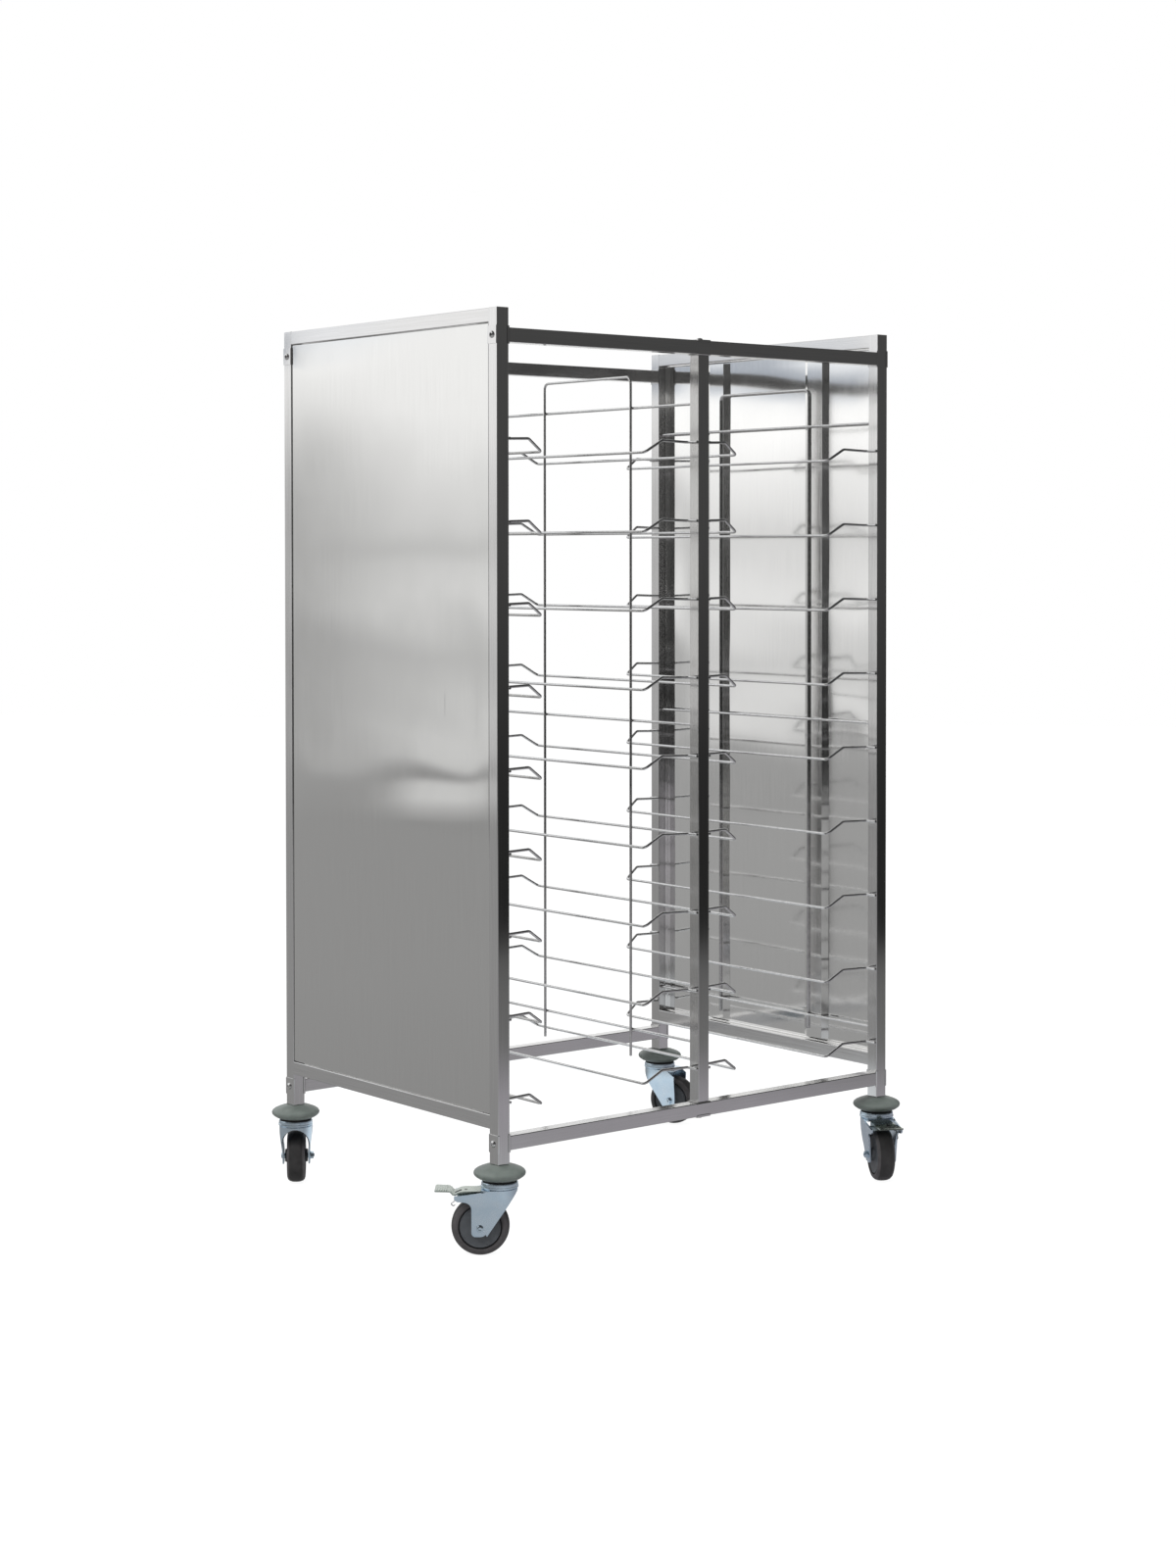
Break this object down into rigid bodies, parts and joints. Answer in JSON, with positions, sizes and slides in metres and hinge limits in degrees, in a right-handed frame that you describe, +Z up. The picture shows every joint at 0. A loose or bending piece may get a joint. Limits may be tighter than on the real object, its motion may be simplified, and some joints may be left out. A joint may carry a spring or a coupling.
{
  "type": "enclosed meal tray cart",
  "caption": "Tall stainless tray cart: tube frame with panelled sides, two open bays of bent-wire tray runners, and swivel casters under round rubber bumpers.",
  "frame": {"origin": "on the floor, under the centre of the box round the whole cart with its casters as parked; the frame's own centre is 27.9 mm along +X and 17.5 mm along +Y from it", "axes": "+Z up; -Y the open front with the two braked casters; +X to the right seen from the front"},
  "size_m": [1.0556, 0.8232, 1.6185],
  "materials": {
    "tube_steel": "satin stainless tube",
    "panel_steel": "bright stainless sheet with a fine upright grain",
    "wire_steel": "polished stainless wire",
    "zinc_plate": "bright bluish zinc plate on pressed steel",
    "bumper_rubber": "matt grey-green rubber",
    "wheel_rubber": "matt dark grey rubber"
  },
  "bodies": {
    "cart": {"left_side_frame": "tube_steel", "right_side_frame": "tube_steel", "centre_frame": "tube_steel", "front_top_rail": "tube_steel", "front_bottom_rail": "tube_steel", "rear_top_rail": "tube_steel", "rear_bottom_rail": "tube_steel", "left_side_panel": "panel_steel", "right_side_panel": "panel_steel", "tray_runner_left_1": "wire_steel", "tray_runner_left_2": "wire_steel", "tray_runner_left_3": "wire_steel", "tray_runner_left_4": "wire_steel", "tray_runner_left_5": "wire_steel", "tray_runner_left_6": "wire_steel", "tray_runner_left_7": "wire_steel", "tray_runner_left_8": "wire_steel", "tray_runner_left_9": "wire_steel", "tray_runner_centre_left_1": "wire_steel", "tray_runner_centre_left_2": "wire_steel", "tray_runner_centre_left_3": "wire_steel", "tray_runner_centre_left_4": "wire_steel", "tray_runner_centre_left_5": "wire_steel", "tray_runner_centre_left_6": "wire_steel", "tray_runner_centre_left_7": "wire_steel", "tray_runner_centre_left_8": "wire_steel", "tray_runner_centre_left_9": "wire_steel", "tray_runner_centre_right_1": "wire_steel", "tray_runner_centre_right_2": "wire_steel", "tray_runner_centre_right_3": "wire_steel", "tray_runner_centre_right_4": "wire_steel", "tray_runner_centre_right_5": "wire_steel", "tray_runner_centre_right_6": "wire_steel", "tray_runner_centre_right_7": "wire_steel", "tray_runner_centre_right_8": "wire_steel", "tray_runner_centre_right_9": "wire_steel", "tray_runner_right_1": "wire_steel", "tray_runner_right_2": "wire_steel", "tray_runner_right_3": "wire_steel", "tray_runner_right_4": "wire_steel", "tray_runner_right_5": "wire_steel", "tray_runner_right_6": "wire_steel", "tray_runner_right_7": "wire_steel", "tray_runner_right_8": "wire_steel", "tray_runner_right_9": "wire_steel", "bumper_front_left": "bumper_rubber", "bumper_front_right": "bumper_rubber", "bumper_rear_left": "bumper_rubber", "bumper_rear_right": "bumper_rubber"},
    "caster_front_left": {"caster_fork_front_left": "zinc_plate"},
    "wheel_front_left": {"caster_wheel_front_left": "wheel_rubber"},
    "pedal_front_left": {"brake_pedal_front_left": "zinc_plate"},
    "caster_front_right": {"caster_fork_front_right": "zinc_plate"},
    "wheel_front_right": {"caster_wheel_front_right": "wheel_rubber"},
    "pedal_front_right": {"brake_pedal_front_right": "zinc_plate"},
    "caster_rear_left": {"caster_fork_rear_left": "zinc_plate"},
    "wheel_rear_left": {"caster_wheel_rear_left": "wheel_rubber"},
    "caster_rear_right": {"caster_fork_rear_right": "zinc_plate"},
    "wheel_rear_right": {"caster_wheel_rear_right": "wheel_rubber"}
  },
  "joints": [
    {"name": "swivel_front_left", "type": "hinge", "parent": "cart", "child": "caster_front_left", "pos_m": [-0.4271, -0.304, 0.1155], "axis": [0, 0, 1], "continuous": true},
    {"name": "wheel_spin_front_left", "type": "hinge", "parent": "caster_front_left", "child": "wheel_front_left", "pos_m": [-0.45275, -0.28323, 0.05], "axis": [-0.6293, -0.7771, 0], "continuous": true},
    {"name": "brake_front_left", "type": "hinge", "parent": "caster_front_left", "child": "pedal_front_left", "pos_m": [-0.45974, -0.27757, 0.1045], "axis": [-0.6293, -0.7771, 0], "range_deg": [0, 18]},
    {"name": "swivel_front_right", "type": "hinge", "parent": "cart", "child": "caster_front_right", "pos_m": [0.4829, -0.304, 0.1155], "axis": [0, 0, 1], "continuous": true},
    {"name": "wheel_spin_front_right", "type": "hinge", "parent": "caster_front_right", "child": "wheel_front_right", "pos_m": [0.4664, -0.33258, 0.05], "axis": [0.866, -0.5, 0], "continuous": true},
    {"name": "brake_front_right", "type": "hinge", "parent": "caster_front_right", "child": "pedal_front_right", "pos_m": [0.4619, -0.34037, 0.1045], "axis": [0.866, -0.5, 0], "range_deg": [0, 18]},
    {"name": "swivel_rear_left", "type": "hinge", "parent": "cart", "child": "caster_rear_left", "pos_m": [-0.4271, 0.339, 0.1155], "axis": [0, 0, 1], "continuous": true},
    {"name": "wheel_spin_rear_left", "type": "hinge", "parent": "caster_rear_left", "child": "wheel_rear_left", "pos_m": [-0.40817, 0.36603, 0.05], "axis": [-0.8192, 0.5736, 0], "continuous": true},
    {"name": "swivel_rear_right", "type": "hinge", "parent": "cart", "child": "caster_rear_right", "pos_m": [0.4829, 0.339, 0.1155], "axis": [0, 0, 1], "continuous": true},
    {"name": "wheel_spin_rear_right", "type": "hinge", "parent": "caster_rear_right", "child": "wheel_rear_right", "pos_m": [0.49579, 0.30862, 0.05], "axis": [0.9205, 0.3907, 0], "continuous": true}
  ]
}
